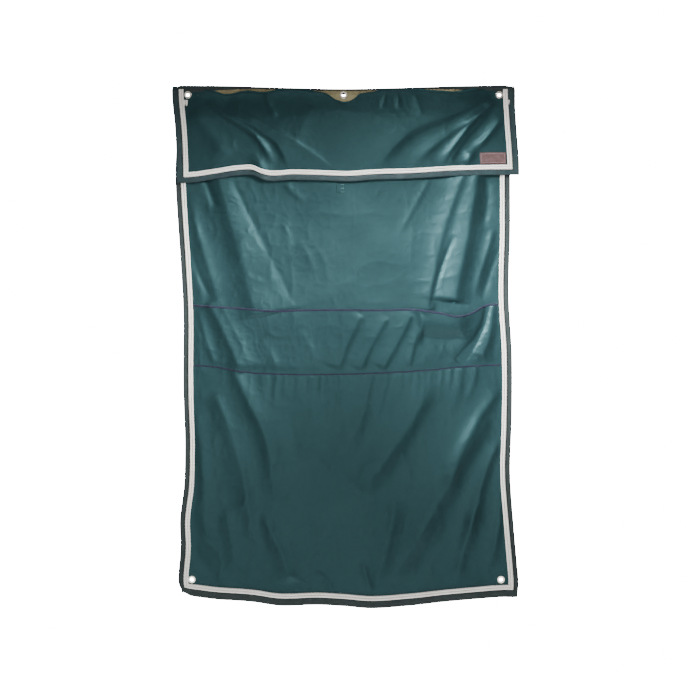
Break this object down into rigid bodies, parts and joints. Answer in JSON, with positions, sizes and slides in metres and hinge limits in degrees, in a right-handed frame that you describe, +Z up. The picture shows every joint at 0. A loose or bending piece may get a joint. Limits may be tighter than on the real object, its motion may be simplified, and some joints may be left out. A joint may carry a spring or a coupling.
{
  "type": "stable curtain",
  "caption": "Cloth stall drape that hangs from eyelets, with a fold-down storm flap over its head, a wide sewn pocket, cord piping and bound edges.",
  "frame": {"origin": "on the axis of the centre top eyelet, in the plane of the main panel's front face", "axes": "+X to the right seen from the front, +Y away from the viewer behind the curtain, +Z up"},
  "size_m": [1.2, 0.0412, 1.8],
  "materials": {
    "green_shell_cloth": "woven nylon with a soft sheen",
    "lining_cloth": "plain woven, matt",
    "green_webbing": "ribbed webbing",
    "khaki_drill": "twill, matt",
    "slate_binding_tape": "ribbed tape",
    "cream_piping_cord": "braided cord",
    "navy_tape": "narrow ribbed tape",
    "nickel_plated_brass": "nickel plated, polished",
    "brown_leather": "smooth grain",
    "mauve_thread": "waxed thread"
  },
  "bodies": {
    "curtain": {"main_panel": "green_shell_cloth", "panel_lining": "lining_cloth", "heading_webbing": "green_webbing", "top_facing": "khaki_drill", "flap_header": "green_shell_cloth", "top_binding": "slate_binding_tape", "left_side_binding": "slate_binding_tape", "right_side_binding": "slate_binding_tape", "bottom_binding": "slate_binding_tape", "header_side_bindings": "slate_binding_tape", "outer_piping_cord": "cream_piping_cord", "inner_piping_cord": "cream_piping_cord", "header_piping_cords": "cream_piping_cord", "pocket_front": "green_shell_cloth", "pocket_top_binding": "navy_tape", "pocket_seam_tape": "navy_tape", "top_eyelets": "nickel_plated_brass", "top_eyelet_washers": "nickel_plated_brass", "bottom_eyelets": "nickel_plated_brass", "bottom_eyelet_washers": "nickel_plated_brass", "bottom_corner_patches": "green_shell_cloth", "centre_tack_patch": "green_webbing"},
    "flap": {"flap_panel": "green_shell_cloth", "flap_lining": "lining_cloth", "flap_left_binding": "slate_binding_tape", "flap_right_binding": "slate_binding_tape", "flap_bottom_binding": "slate_binding_tape", "flap_outer_piping_cord": "cream_piping_cord", "flap_inner_piping_cord": "cream_piping_cord", "name_patch": "brown_leather", "name_patch_stitching": "mauve_thread"}
  },
  "joints": [
    {"name": "flap_lift", "type": "hinge", "parent": "curtain", "child": "flap", "pos_m": [0, -0.017, -0.018], "axis": [-1, 0, 0], "range_deg": [0, 175]}
  ]
}
